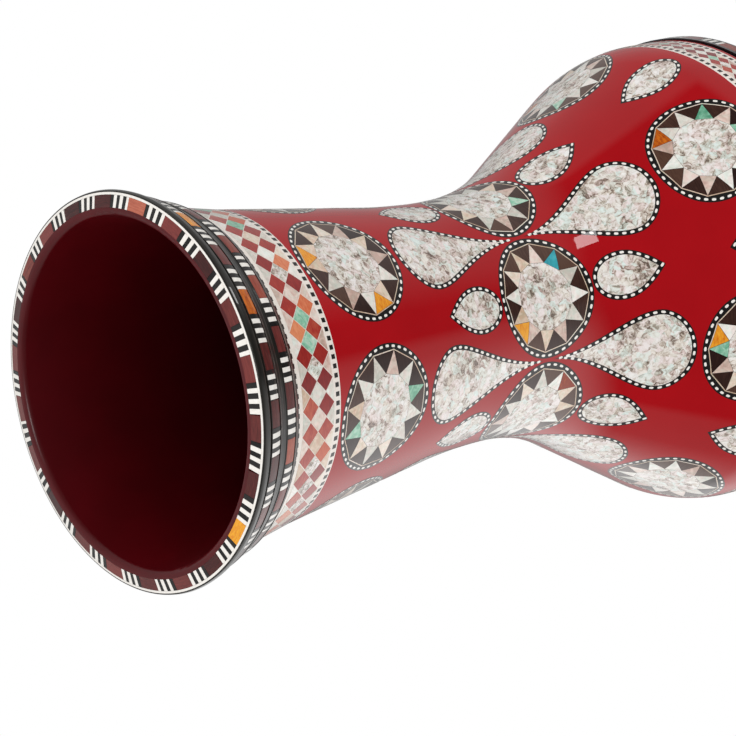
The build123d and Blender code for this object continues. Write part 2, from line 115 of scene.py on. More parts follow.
# materials
def redLacquer():
    # polyester lacquer, sprayed and buffed: deep even red under a clear gloss, with a trace of orange peel
    material, tree = newMaterial("buffedRedLacquer")
    place = addNode(tree, "ShaderNodeTexCoord").outputs["Object"]
    cloud = addNode(tree, "ShaderNodeTexNoise", inputs={"Vector": place, "Scale": 1 / 0.045, "Detail": 3.0})
    color = addNode(tree, "ShaderNodeValToRGB", {"stops": [(0.3, "#9e0c14"), (0.7, "#a60e16")]}, {
        "Fac": cloud.outputs["Fac"]}).outputs[0]
    peel = addNode(tree, "ShaderNodeTexNoise", inputs={"Vector": place, "Scale": 1 / 0.004, "Detail": 1.0})
    bump = addNode(tree, "ShaderNodeBump", inputs={
        "Strength": 0.03, "Distance": 0.0004, "Height": peel.outputs["Fac"]})
    shader = addNode(tree, "ShaderNodeBsdfPrincipled", inputs={
        "Base Color": color, "Roughness": 0.5, "Specular IOR Level": 0.0, "Coat Normal": bump.outputs["Normal"],
        **clearCoat})
    closeMaterial(tree, shader)
    return material


def interiorEnamel():
    # stoving enamel sprayed thin on cast aluminium: dark wine red, satin, with orange peel; painted shade takes
    # it to near black deeper inside
    material, tree = newMaterial("sprayedInteriorEnamel")
    place = addNode(tree, "ShaderNodeTexCoord").outputs["Object"]
    cloud = addNode(tree, "ShaderNodeTexNoise", inputs={"Vector": place, "Scale": 1 / 0.03, "Detail": 4.0})
    color = addNode(tree, "ShaderNodeValToRGB", {"stops": [(0.3, "#4a0006"), (0.7, "#540008")]}, {
        "Fac": cloud.outputs["Fac"]}).outputs[0]
    depth = addNode(tree, "ShaderNodeSeparateXYZ", inputs={0: place})
    # painted shade: the colour fades to near black from 1 cm to 20 cm above the mouth, where the inside gets
    # little light
    paintedDepthShade = addNode(tree, "ShaderNodeMapRange", inputs={
        "Value": depth.outputs["Z"], "From Min": 0.01, "From Max": 0.2, "To Min": 0.0, "To Max": 1.0})
    color = addNode(tree, "ShaderNodeMix", {"data_type": "RGBA", "blend_type": "MIX"}, {
        0: paintedDepthShade.outputs[0], 6: color, 7: hexColor("#0c0102")}).outputs[2]   # painted shade: darker deeper inside the drum
    peel = addNode(tree, "ShaderNodeTexNoise", inputs={"Vector": place, "Scale": 1 / 0.0025, "Detail": 2.0})
    bump = addNode(tree, "ShaderNodeBump", inputs={
        "Strength": 0.12, "Distance": 0.0003, "Height": peel.outputs["Fac"]})
    shader = addNode(tree, "ShaderNodeBsdfPrincipled", inputs={
        "Base Color": color, "Roughness": 0.3, "IOR": 1.5, "Specular IOR Level": 0.5,
        "Normal": bump.outputs["Normal"]})
    closeMaterial(tree, shader)
    return material


def blackResin():
    # polyester resin filled with carbon black, turned and polished: charcoal with faint turning lines
    material, tree = newMaterial("turnedBlackResin")
    place = addNode(tree, "ShaderNodeTexCoord").outputs["Object"]
    rings = addNode(tree, "ShaderNodeMapping", inputs={"Vector": place, "Scale": (40.0, 40.0, 2200.0)})
    streak = addNode(tree, "ShaderNodeTexNoise",
        inputs={"Vector": rings.outputs[0], "Scale": 1.0, "Detail": 3.0})
    color = addNode(tree, "ShaderNodeValToRGB", {"stops": [(0.3, "#12110f"), (0.72, "#282520")]}, {
        "Fac": streak.outputs["Fac"]}).outputs[0]
    bump = addNode(tree, "ShaderNodeBump", inputs={
        "Strength": 0.12, "Distance": 0.0002, "Height": streak.outputs["Fac"]})
    shader = addNode(tree, "ShaderNodeBsdfPrincipled", inputs={
        "Base Color": color, "Roughness": 0.3, "Specular IOR Level": 0.2, "Normal": bump.outputs["Normal"],
        **clearCoat})
    closeMaterial(tree, shader)
    return material


def grainMaterial(name, stops, grainWidth, roughness=0.35, length=9.0):
    # polished veneer under clear coat: fibres run along the piece, each piece a little lighter or darker
    material, tree = newMaterial(name)
    place = addNode(tree, "ShaderNodeAttribute", {"attribute_name": "grain"}).outputs["Vector"]
    shade = addNode(tree, "ShaderNodeAttribute", {"attribute_name": "shade"}).outputs["Fac"]
    fibre = addNode(tree, "ShaderNodeMapping", inputs={
        "Vector": place, "Scale": (1 / (grainWidth * length), 1 / grainWidth, 1.0)})
    grain = addNode(tree, "ShaderNodeTexNoise", inputs={
        "Vector": fibre.outputs[0], "Scale": 1.0, "Detail": 5.0, "Roughness": 0.65})
    mixed = addNode(tree, "ShaderNodeMath", {"operation": "MULTIPLY_ADD"}, {
        0: grain.outputs["Fac"], 1: 0.55, 2: 0.0})
    total = addNode(tree, "ShaderNodeMath", {"operation": "MULTIPLY_ADD"}, {
        0: shade, 1: 0.45, 2: mixed.outputs[0]})
    color = addNode(tree, "ShaderNodeValToRGB", {"stops": stops}, {
        "Fac": total.outputs[0]}).outputs[0]
    bump = addNode(tree, "ShaderNodeBump", inputs={
        "Strength": 0.2, "Distance": 0.0002, "Height": grain.outputs["Fac"]})
    shader = addNode(tree, "ShaderNodeBsdfPrincipled", inputs={
        "Base Color": color, "Roughness": roughness, "Specular IOR Level": 0.1, "Normal": bump.outputs["Normal"],
        **clearCoat})
    closeMaterial(tree, shader)
    return material


def solidShell(name, stops):
    # mother-of-pearl sawn flat and polished: soft wavy layers, with a faint pink and green play painted in as
    # sheen
    material, tree = newMaterial(name)
    place = addNode(tree, "ShaderNodeAttribute", {"attribute_name": "grain"}).outputs["Vector"]
    shade = addNode(tree, "ShaderNodeAttribute", {"attribute_name": "shade"}).outputs["Fac"]
    layers = addNode(tree, "ShaderNodeTexNoise", inputs={
        "Vector": place, "Scale": 1 / 5.0, "Detail": 4.0, "Distortion": 1.6})   # layers about 5 mm wide
    total = addNode(tree, "ShaderNodeMath", {"operation": "MULTIPLY_ADD"}, {
        0: shade, 1: 0.5, 2: -0.25})
    sumUp = addNode(tree, "ShaderNodeMath", {"operation": "ADD"},
        {0: total.outputs[0], 1: layers.outputs["Fac"]})
    color = addNode(tree, "ShaderNodeValToRGB", {"stops": stops}, {
        "Fac": sumUp.outputs[0]}).outputs[0]
    # painted sheen: a pink and green tint stands in for the shell's iridescent play of light
    paintedSheen = addNode(tree, "ShaderNodeTexNoise", inputs={"Vector": place, "Scale": 1 / 3.2, "Detail": 2.0})
    sheenTint = addNode(tree, "ShaderNodeValToRGB",
        {"stops": [(0.35, "#f2cfc8"), (0.5, "#f4efe6"), (0.65, "#cfe8da")]}, {
        "Fac": paintedSheen.outputs["Fac"]}).outputs[0]
    color = addNode(tree, "ShaderNodeMix", {"data_type": "RGBA", "blend_type": "MULTIPLY"}, {
        0: 0.35, 6: color, 7: sheenTint}).outputs[2]
    bump = addNode(tree, "ShaderNodeBump", inputs={
        "Strength": 0.25, "Distance": 0.0004, "Height": layers.outputs["Fac"]})
    shader = addNode(tree, "ShaderNodeBsdfPrincipled", inputs={
        "Base Color": color, "Roughness": 0.28, "IOR": 1.6, "Normal": bump.outputs["Normal"], **clearCoat})
    closeMaterial(tree, shader)
    return material


def crushedPearl():
    # crushed shell flakes pressed into clear resin: painted highlights on bright facets, painted shade in dark
    # crevices, painted pink and green glints
    material, tree = newMaterial("crushedShellInResin")
    place = addNode(tree, "ShaderNodeAttribute", {"attribute_name": "grain"}).outputs["Vector"]
    warp = addNode(tree, "ShaderNodeTexNoise", inputs={"Vector": place, "Scale": 1 / 7.0, "Detail": 3.0})
    bent = addNode(tree, "ShaderNodeVectorMath", {"operation": "MULTIPLY_ADD"}, {
        0: warp.outputs["Color"], 1: (7.0, 7.0, 0.0), 2: place})
    flakes = addNode(tree, "ShaderNodeTexVoronoi", {"feature": "F1"}, {
        "Vector": bent.outputs[0], "Scale": 1 / 3.4})                      # flakes about 3.4 mm
    creaseReliefAndShade = addNode(tree, "ShaderNodeTexNoise", inputs={
        "Vector": bent.outputs[0], "Scale": 1 / 3.0, "Detail": 8.0, "Roughness": 0.68, "Distortion": 1.2})
    clouds = addNode(tree, "ShaderNodeTexNoise", inputs={"Vector": place, "Scale": 1 / 14.0, "Detail": 2.0})
    level = addNode(tree, "ShaderNodeMath", {"operation": "MULTIPLY_ADD"}, {
        0: clouds.outputs["Fac"], 1: 0.35, 2: -0.175})
    facet = addNode(tree, "ShaderNodeSeparateXYZ", inputs={0: flakes.outputs["Color"]})
    facets = addNode(tree, "ShaderNodeMath", {"operation": "MULTIPLY_ADD"}, {
        0: facet.outputs["X"], 1: 0.22, 2: level.outputs[0]})
    toneWithPaintedLight = addNode(tree, "ShaderNodeMath", {"operation": "MULTIPLY_ADD"}, {
        0: creaseReliefAndShade.outputs["Fac"], 1: 1.25, 2: facets.outputs[0]})
    toneWithPaintedLight = addNode(tree, "ShaderNodeMath", {"operation": "SUBTRACT"}, {0: toneWithPaintedLight.outputs[0], 1: 0.2})
    # painted light: the dark brown stops paint shade in the creases, the white stops paint highlights on the
    # flakes
    color = addNode(tree, "ShaderNodeValToRGB", {"stops": [
        (0.30, "#6b5a4e"), (0.40, "#b3a497"), (0.48, "#ded5cd"), (0.56, "#f2eeea"), (0.68, "#ffffff")]}, {
        "Fac": toneWithPaintedLight.outputs[0]}).outputs[0]
    # painted glints: pink, ivory and green tints per flake stand in for the shell's iridescent reflections
    paintedGlint = addNode(tree, "ShaderNodeValToRGB", {"stops": [
        (0.2, "#f6dcd8"), (0.42, "#f8f4ef"), (0.6, "#f6ead8"), (0.8, "#d8efe5")]}, {
        "Fac": flakes.outputs["Color"]}).outputs[0]
    color = addNode(tree, "ShaderNodeMix", {"data_type": "RGBA", "blend_type": "MULTIPLY"}, {
        0: 0.55, 6: color, 7: paintedGlint}).outputs[2]
    relief = addNode(tree, "ShaderNodeMath", {"operation": "MULTIPLY_ADD"}, {
        0: flakes.outputs["Distance"], 1: 0.6, 2: creaseReliefAndShade.outputs["Fac"]})
    bump = addNode(tree, "ShaderNodeBump", inputs={
        "Strength": 0.9, "Distance": 0.0011, "Height": relief.outputs[0]})
    shader = addNode(tree, "ShaderNodeBsdfPrincipled", inputs={
        "Base Color": color, "Roughness": 0.22, "IOR": 1.65, "Specular IOR Level": 0.8,
        "Normal": bump.outputs["Normal"], **clearCoat})
    closeMaterial(tree, shader)
    return material


def boneMaterial(name, stops):
    # polished camel bone: warm white with short faint pores
    material, tree = newMaterial(name)
    place = addNode(tree, "ShaderNodeTexCoord").outputs["Object"]
    pores = addNode(tree, "ShaderNodeTexNoise", inputs={
        "Vector": place, "Scale": 1 / 0.0016, "Detail": 4.0, "Roughness": 0.6})   # pores drawn 1.6 mm to show
    color = addNode(tree, "ShaderNodeValToRGB", {"stops": stops}, {
        "Fac": pores.outputs["Fac"]}).outputs[0]
    shader = addNode(tree, "ShaderNodeBsdfPrincipled", inputs={
        "Base Color": color, "Roughness": 0.35, "IOR": 1.54, **clearCoat})
    closeMaterial(tree, shader)
    return material


def metalMaterial(name, codeA, codeB, roughLow, roughHigh, grit):
    # bare or plated metal: fine uneven gloss from machining, slightly dull in patches
    material, tree = newMaterial(name)
    place = addNode(tree, "ShaderNodeTexCoord").outputs["Object"]
    wear = addNode(tree, "ShaderNodeTexNoise", inputs={"Vector": place, "Scale": 1 / grit, "Detail": 5.0})
    color = addNode(tree, "ShaderNodeValToRGB", {"stops": [(0.35, codeA), (0.65, codeB)]}, {
        "Fac": wear.outputs["Fac"]}).outputs[0]
    rough = addNode(tree, "ShaderNodeMapRange", inputs={
        "Value": wear.outputs["Fac"], "To Min": roughLow, "To Max": roughHigh})
    shader = addNode(tree, "ShaderNodeBsdfPrincipled", inputs={
        "Base Color": color, "Metallic": 1.0, "Roughness": rough.outputs["Result"]})
    closeMaterial(tree, shader)
    return material


def ringPaint():
    # gloss black two-pack paint on a cast ring: deep black with soft orange peel
    material, tree = newMaterial("glossBlackRingPaint")
    place = addNode(tree, "ShaderNodeTexCoord").outputs["Object"]
    peel = addNode(tree, "ShaderNodeTexNoise", inputs={"Vector": place, "Scale": 1 / 0.003, "Detail": 2.0})
    color = addNode(tree, "ShaderNodeValToRGB", {"stops": [(0.3, "#0f0f11"), (0.7, "#1a1a1d")]}, {
        "Fac": peel.outputs["Fac"]}).outputs[0]
    bump = addNode(tree, "ShaderNodeBump", inputs={
        "Strength": 0.1, "Distance": 0.0003, "Height": peel.outputs["Fac"]})
    shader = addNode(tree, "ShaderNodeBsdfPrincipled", inputs={
        "Base Color": color, "Roughness": 0.25, "IOR": 1.5, "Normal": bump.outputs["Normal"], **clearCoat})
    closeMaterial(tree, shader)
    return material


def headFilm():
    # polyester drum film, coated side out: milky white, satin, with a fine sprayed grain
    material, tree = newMaterial("coatedPolyesterFilm")
    place = addNode(tree, "ShaderNodeTexCoord").outputs["Object"]
    spray = addNode(tree, "ShaderNodeTexNoise", inputs={"Vector": place, "Scale": 1 / 0.0012, "Detail": 4.0})
    haze = addNode(tree, "ShaderNodeTexNoise", inputs={"Vector": place, "Scale": 1 / 0.06, "Detail": 2.0})
    color = addNode(tree, "ShaderNodeValToRGB", {"stops": [(0.3, "#ebe9e3"), (0.7, "#f5f4f0")]}, {
        "Fac": haze.outputs["Fac"]}).outputs[0]
    bump = addNode(tree, "ShaderNodeBump", inputs={
        "Strength": 0.25, "Distance": 0.0002, "Height": spray.outputs["Fac"]})
    shader = addNode(tree, "ShaderNodeBsdfPrincipled", inputs={
        "Base Color": color, "Roughness": 0.42, "IOR": 1.6, "Normal": bump.outputs["Normal"]})
    closeMaterial(tree, shader)
    return material


red = redLacquer()
enamel = interiorEnamel()
resin = blackResin()
rosewood = grainMaterial("polishedRosewood", [(0.25, "#2c0e0e"), (0.5, "#521f1d"), (0.75, "#7c3430")], 0.7)
redwood = grainMaterial("polishedPadauk", [(0.25, "#5e1c18"), (0.5, "#93402f"), (0.75, "#bc6a52")], 0.8)
amber = grainMaterial("polishedAmberHorn", [(0.3, "#8a2c08"), (0.5, "#cc6c10"), (0.7, "#eda62c")], 1.2,
    0.25, 3.0)
slipBlack = grainMaterial("polishedEbonySlip", [(0.3, "#0e0d0d"), (0.7, "#232120")], 0.5)
wedgeWood = grainMaterial("polishedEbonyWedge", [(0.3, "#26130f"), (0.5, "#3b231c"), (0.7, "#553a2e")], 0.7)
dyedShell = grainMaterial("redDyedShell", [(0.22, "#74161a"), (0.42, "#8e211e"), (0.6, "#a33128"),
    (0.8, "#c06046")],
                          1.6, 0.3, 3.0)
orangeShell = grainMaterial("orangeDyedShell", [(0.15, "#a8381c"), (0.5, "#c85c34"), (0.85, "#e49a70")],
    1.6, 0.3, 3.0)
bone = boneMaterial("polishedBone", [(0.3, "#e9e3da"), (0.7, "#f8f5f0")])
boneBed = boneMaterial("bonePasteBed", [(0.3, "#e6dbd0"), (0.7, "#f3ebe3")])
pearl = crushedPearl()
cream = solidShell("creamShell", [(0.2, "#c9ab90"), (0.5, "#e0cbb6"), (0.8, "#f2e6da")])
pinkish = solidShell("pinkShell", [(0.2, "#bda093"), (0.5, "#dcc4b8"), (0.8, "#efe0d8")])
pale = solidShell("paleShell", [(0.2, "#c8c4ba"), (0.5, "#e4e0d8"), (0.8, "#f9f7f3")])
green = solidShell("greenAbalone", [(0.2, "#4f9c7c"), (0.5, "#8cc8ac"), (0.8, "#d4e8da")])
turquoise = solidShell("turquoiseAbalone", [(0.2, "#008c9a"), (0.5, "#08a4b4"), (0.8, "#58c8d0")])
paint = ringPaint()
film = headFilm()
aluminium = metalMaterial("drawnAluminium", "#c4c6c8", "#dadbdc", 0.25, 0.4, 0.004)
zinc = metalMaterial("zincPlatedSteel", "#a9a9aa", "#c6c6c8", 0.18, 0.32, 0.003)
print("materials made:", len(bpy.data.materials))


# the goblet's surface
def tangentAngle(point, centre, radius, side):
    dz, dr = centre[0] - point[0], centre[1] - point[1]
    return math.atan2(dr, dz) + side * math.asin(radius / math.hypot(dz, dr))


waistZ, waistR = goblet["waist"]
bellCentre = waistR + goblet["bellSweep"]
bowlCentre = waistR + goblet["bowlSweep"]
bellAngle = tangentAngle(goblet["bandEnd"], (waistZ, bellCentre), goblet["bellSweep"], -1)
bowlAngle = tangentAngle(goblet["corner"], (waistZ, bowlCentre), goblet["bowlSweep"], 1) - math.pi
bellTouch = waistZ + goblet["bellSweep"] * math.sin(bellAngle)
bowlTouch = waistZ + goblet["bowlSweep"] * math.sin(bowlAngle)
shoulderZ = goblet["corner"][0] + goblet["shoulder"] * math.tan(bowlAngle / 2)
shoulderR = goblet["corner"][1] - goblet["shoulder"]
shoulderStart = shoulderZ - goblet["shoulder"] * math.sin(bowlAngle)


def surfaceAt(z):
    # radius and slope (dr/dz as an angle) of the finished surface at heights z, in mm
    z = np.asarray(z, float)
    bandSlope = (goblet["bandEnd"][1] - goblet["bandStart"][1]) / (goblet["bandEnd"][0] - goblet["bandStart"][0])
    bell, bowl, edge = goblet["bellSweep"], goblet["bowlSweep"], goblet["shoulder"]
    dz = z - waistZ
    up = np.clip(z - shoulderZ, -edge, 0)
    cases = [z < goblet["bandEnd"][0], z < bellTouch, z < waistZ, z < bowlTouch, z < shoulderStart,
        z < shoulderZ]
    bellArc = np.sqrt(np.maximum(bell ** 2 - dz ** 2, 1))
    bowlArc = np.sqrt(np.maximum(bowl ** 2 - dz ** 2, 1))
    edgeArc = np.sqrt(np.maximum(edge ** 2 - up ** 2, 1))
    radii = [goblet["bandStart"][1] + (z - goblet["bandStart"][0]) * bandSlope,
             goblet["bandEnd"][1] + (z - goblet["bandEnd"][0]) * math.tan(bellAngle),
             bellCentre - bellArc, bowlCentre - bowlArc,
             goblet["corner"][1] + (z - goblet["corner"][0]) * math.tan(bowlAngle), shoulderR + edgeArc]
    slopes = [np.full_like(z, math.atan(bandSlope)), np.full_like(z, bellAngle), np.arctan(dz / bellArc),
              np.arctan(dz / bowlArc), np.full_like(z, bowlAngle), np.arctan(-up / edgeArc)]
    return np.select(cases, radii, goblet["corner"][1]), np.select(cases, slopes, 0.0)


def wrap(flat, turn, depth):
    # flat (across, up) points onto the surface, turned about the axis by an angle; positions and normals
    r, slope = surfaceAt(flat[:, 1])
    angle = flat[:, 0] / r + turn
    out = r - depth * np.cos(slope)
    points = np.stack([out * np.cos(angle), out * np.sin(angle), flat[:, 1] + depth * np.sin(slope)], 1)
    normals = np.stack([np.cos(slope) * np.cos(angle), np.cos(slope) * np.sin(angle), -np.sin(slope)], 1)
    return points, normals


def unroll(y, z):
    # a point of a motif's front view, as seen along the radius, to (across, up)
    r = float(surfaceAt(z)[0])
    return (r * math.asin(max(-1, min(1, y / r))), z)


# meshes
def flatFill(outline, step=None):
    # an outline filled with small faces: points, faces and rim edges
    step = step or inlay["grid"]
    bm = bmesh.new()
    bm.faces.new([bm.verts.new((a, z, 0)) for a, z in outline])
    bmesh.ops.triangulate(bm, faces=bm.faces[:])
    for axis in (0, 1):
        low, high = min(p[axis] for p in outline), max(p[axis] for p in outline)
        cuts = max(1, math.ceil((high - low) / step))
        for k in range(1, cuts):
            at, normal = Vector((0, 0, 0)), Vector((0, 0, 0))
            at[axis], normal[axis] = low + (high - low) * k / cuts, 1
            bmesh.ops.bisect_plane(bm, geom=bm.verts[:] + bm.edges[:] + bm.faces[:], dist=1e-4,
                                   plane_co=at, plane_no=normal)
    bm.normal_update()
    bmesh.ops.reverse_faces(bm, faces=[f for f in bm.faces if f.normal.z < 0])
    bm.verts.index_update()
    points = np.array([v.co[:2] for v in bm.verts])
    faces = [[v.index for v in f.verts] for f in bm.faces]
    rim = [(l.vert.index, l.link_loop_next.vert.index) for f in bm.faces for l in f.loops if l.edge.is_boundary]
    bm.free()
    return points, faces, rim


def plate(filled, turn, top, bottom, material=0, shade=0.5, dome=None):
    # a thin closed plate of a filled outline, wrapped onto the surface
    points, faces, rim = filled
    n = len(points)
    depth = top if dome is None else top + dome
    upper, normals = wrap(points, turn, depth)
    lower, _ = wrap(points, turn, bottom)
    allFaces = list(faces) + [[i + n for i in reversed(f)] for f in faces] + [[i, i + n, j + n, j] for i,
        j in rim]
    grain = np.column_stack([np.vstack([points, points]), np.full(2 * n, turn * 40 + shade * 17)])
    return {"points": np.vstack([upper, lower]), "normals": np.vstack([normals, -normals]), "faces": allFaces,
            "smooth": len(faces) * 2, "material": material, "shade": shade, "grain": grain}


def buildPiece(name, chunks, materials, body="shell", replaces=(), keepNormals=True, sharp=35):
    # one object from many separate closed plates or turned solids
    points, faces, smooth, index, shades, grains, loopNormals = [], [], [], [], [], [], []
    offset = 0
    for c in chunks:
        points.append(c["points"])
        shades.append(np.full(len(c["points"]), c["shade"]))
        grains.append(c["grain"])
        for k, f in enumerate(c["faces"]):
            faces.append([i + offset for i in f])
            isSmooth = k < c["smooth"]
            smooth.append(isSmooth)
            index.append(c["material"])
            if keepNormals:
                loopNormals.extend([tuple(c["normals"][i]) for i in f] if isSmooth else [(0, 0, 0)] * len(f))
        offset += len(c["points"])
    mesh = bpy.data.meshes.new(name)
    mesh.from_pydata((np.vstack(points) * mm).tolist(), [], faces)
    mesh.polygons.foreach_set("use_smooth", smooth)
    mesh.polygons.foreach_set("material_index", index)
    mesh.attributes.new("shade", "FLOAT", "POINT").data.foreach_set("value", np.concatenate(shades))
    mesh.attributes.new("grain", "FLOAT_VECTOR", "POINT").data.foreach_set("vector",
        np.vstack(grains).ravel())
    for material in materials:
        mesh.materials.append(material)
    mesh.update()
    mesh.set_sharp_from_angle(angle=math.radians(sharp))
    if keepNormals:
        mesh.normals_split_custom_set(loopNormals)
    piece = bpy.data.objects.new(name, mesh)
    bpy.context.scene.collection.objects.link(piece)
    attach(piece, body)
    if replaces:
        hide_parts(*replaces)
    return piece


def turnedSolid(outline, start=0.0, arc=None, steps=None, skew=0.0, material=0, shade=0.5):
    # an (r, z) outline turned about the axis: a whole ring, or a sector with closed ends
    whole = arc is None
    steps = steps or (goblet["segments"] if whole else max(2, math.ceil(arc / math.radians(1.5))))
    count = steps if whole else steps + 1
    m = len(outline)
    r, z = np.array(outline, float).T
    middle = r.mean()
    points, grains = [], []
    for k in range(count):
        angle = start + (2 * math.pi if whole else arc) * k / steps + skew * (r - middle)
        points.append(np.stack([r * np.cos(angle), r * np.sin(angle), z], 1))
        grains.append(np.stack([middle * angle, r + z, np.full(m, shade * 31)], 1))
    faces = []
    for k in range(steps):
        a, b = k * m, (k + 1) % count * m
        faces += [[a + i, b + i, b + (i + 1) % m, a + (i + 1) % m] for i in range(m)]
    if not whole:
        faces += [list(range(m)), [steps * m + i for i in reversed(range(m))]]
    area = sum(r[i] * z[(i + 1) % m] - r[(i + 1) % m] * z[i] for i in range(m))
    if area < 0:
        faces = [f[::-1] for f in faces]
    return {"points": np.vstack(points), "faces": faces, "smooth": len(faces) if whole else steps * m,
            "material": material, "shade": shade, "grain": np.vstack(grains), "normals": None}


def rounded(points, radius, steps=4):
    # the same open outline with its corners rounded
    made = [points[0]]
    for before, at, after in zip(points, points[1:], points[2:]):
        p0, p1, p2 = Vector(before), Vector(at), Vector(after)
        reach = min(radius, (p0 - p1).length * 0.45, (p2 - p1).length * 0.45)
        a, b = p1 + (p0 - p1).normalized() * reach, p1 + (p2 - p1).normalized() * reach
        for k in range(steps + 1):
            t = k / steps
            made.append(tuple((1 - t) ** 2 * a + 2 * t * (1 - t) * p1 + t ** 2 * b))
    return made + [points[-1]]


# lip and collar
lip = {"rest": 103.0, "outer": 112.0, "rise": 2.0, "depth": 1.2, "lineIn": 109.9, "lineOut": 111.2}
# units around, share of each that is its tile, first start and how far hand-laid units wander, degrees
rowA = {"edges": ((109.5, 9.8), (107.1, 16.9)), "count": 22, "tile": 0.48, "start": -5.4, "wander": 0.0,
        "crown": 0.35, "slips": "KWKWKW", "amber": (19, 21), "light": ()}
rowB = {"edges": ((103.7, 25.2), (101.9, 31.8)), "count": 21, "tile": 0.47, "start": 7.3, "wander": 0.0,
        "crown": 0.35, "slips": "KWKWKW", "amber": (), "light": (1, 18, 19)}
lipRow = {"count": 22, "tile": 0.48, "start": -1.6, "wander": 3.0, "slips": "KWKWKW", "amber": (3,),
          "light": (14, 18)}
wanderAt = 115.0


def lipHeight(r, depth=0.0):
    return lip["rise"] * (r - lip["rest"]) / (lip["outer"] - lip["rest"]) + depth


def mosaicRow(outline, row, tiles, slips, gap=0.12):
    # tiles of wood with stacks of ebony and bone slips between them
    pitch = 2 * math.pi / row["count"]
    radius = max(r for r, z in outline)
    line = gap / radius
    even = [math.radians(row["start"]) + pitch * k for k in range(row["count"] + 1)]
    starts = [a + math.radians(row["wander"]) * math.cos(a - math.radians(wanderAt)) for a in even]
    for k, (start, after) in enumerate(zip(starts, starts[1:])):
        skew = rng.uniform(-0.0012, 0.0012)
        kind = 2 if k in row["amber"] else 1 if k in row["light"] or rng.random() < 0.08 else 0
        span = pitch * row["tile"]
        tiles.append(turnedSolid(outline, start + line, span - 2 * line, skew=skew * 0.5, material=kind,
                                 shade=rng.random()))
        stack = row["slips"] if rng.random() < 0.7 else row["slips"][::-1]
        width = (after - start - span) / len(stack)
        at = start + span
        for letter in stack:
            wide = width * rng.uniform(0.9, 1.1)
            slips.append(turnedSolid(outline, at + line / 2, min(wide, after - at) - line, skew=skew,
                                     material=0 if letter == "W" else 1, shade=rng.random(), steps=2))
            at += wide
            if at > after - 2 * line:
                break


def crowned(row):
    (r0, z0), (r1, z1) = row["edges"]
    steps = 6
    top = [(r0 + (r1 - r0) * k / steps + row["crown"] * (1 - (2 * k / steps - 1) ** 2),
        z0 + (z1 - z0) * k / steps)
           for k in range(steps + 1)]
    return top + [(r1 - 0.95, z1), (r0 - 0.95, z0)]


def makeLipAndCollar():
    face = [(lip["rest"], lipHeight(lip["rest"])), (lip["lineIn"] - 0.1, lipHeight(lip["lineIn"] - 0.1)),
            (lip["lineIn"] - 0.1, lipHeight(lip["lineIn"] - 0.1, lip["depth"])),
            (lip["rest"], lipHeight(lip["rest"], lip["depth"]))]
    tiles, slips = [], []
    mosaicRow(face, lipRow, tiles, slips)
    woods = [rosewood, redwood, amber]
    buildPiece("lipTiles", tiles, woods, replaces=["lip_tiles"], keepNormals=False)
    buildPiece("lipSlips", slips, [bone, slipBlack], replaces=["lip_slip_blocks"],
               keepNormals=False)
    line = [(lip["lineIn"], lipHeight(lip["lineIn"])), (lip["lineOut"], lipHeight(lip["lineOut"])),
            (lip["lineOut"], lipHeight(lip["lineOut"], lip["depth"])),
            (lip["lineIn"], lipHeight(lip["lineIn"], lip["depth"]))]
    buildPiece("lipWhiteLine", [turnedSolid(line)], [bone], replaces=["lip_white_line"],
        keepNormals=False)
    for name, row, node in (("collarRowA", rowA, "collar_row_a"), ("collarRowB", rowB, "collar_row_b")):
        tiles, slips = [], []
        mosaicRow(crowned(row), row, tiles, slips)
        kinds = woods if name == "collarRowA" else [rosewood, redwood, amber]
        buildPiece(name + "Tiles", tiles, kinds, replaces=[node + "_tiles"], keepNormals=False)
        buildPiece(name + "Slips", slips, [bone, slipBlack],
            replaces=[node + "_slip_blocks"],
                   keepNormals=False)

    # the black moulding: a rolled edge, then a low bead on each side of both rows
    outside = [(111.25, 1.85), (112.0, 2.0), (112.4, 4.0), (111.6, 6.6), (109.0, 8.0), (109.2, 8.8),
        (109.8, 9.3),
               (109.5, 9.78), (108.5, 9.78), (106.1, 16.92), (107.2, 16.92), (107.4, 17.4), (106.6, 18.4),
               (105.7, 19.2), (104.9, 21.5), (103.9, 22.6), (103.6, 24.1), (103.9, 24.7), (103.7, 25.18),
               (102.7, 25.18), (100.9, 31.82), (101.9, 31.82), (102.1, 32.3), (101.4, 33.4), (100.2, 34.6),
               (99.4, 36.3)]
    inside = [(97.0, 36.3), (109.2, 4.2), (109.2, 2.6), (111.25, 3.0)]
    outline = rounded(outside, 0.45, 3) + inside
    buildPiece("collarMoulding", [turnedSolid(outline)], [resin], replaces=["collar_moulding"],
               keepNormals=False, sharp=50)


makeLipAndCollar()
print("lip and collar made")


# lacquer and the diamond bands
def surfaceRing(low, high, top, bottom, step=2.5):
    # a turned layer that follows the goblet's surface between two heights
    count = max(1, math.ceil((high - low) / step))
    heights = np.linspace(low, high, count + 1)
    r, slope = surfaceAt(heights)
    outer = list(zip(r - top * np.cos(slope), heights))
    inner = list(zip(r - bottom * np.cos(slope), heights))
    return turnedSolid(outer + inner[::-1])


bellBand = {"low": 36.3, "high": 73.5, "lineLow": (36.9, 38.4), "lineHigh": (69.6, 72.4), "diamondLow": 41.2,
            "diamondHigh": 68.0, "count": 42, "start": 1.2, "share": 0.485, "dashes": 112, "dashStart": 0.0,
            "dashLow": 0.50, "dashHigh": 0.50}
topBand = {"low": 407.0, "high": 432.0, "lineLow": (408.6, 411.0), "lineHigh": (428.0, 430.4),
    "diamondLow": 412.4,
           "diamondHigh": 426.6, "count": 84, "start": 0.0, "share": 0.485, "dashes": 168, "dashStart": 0.0,
           "dashLow": 0.5, "dashHigh": 0.5}


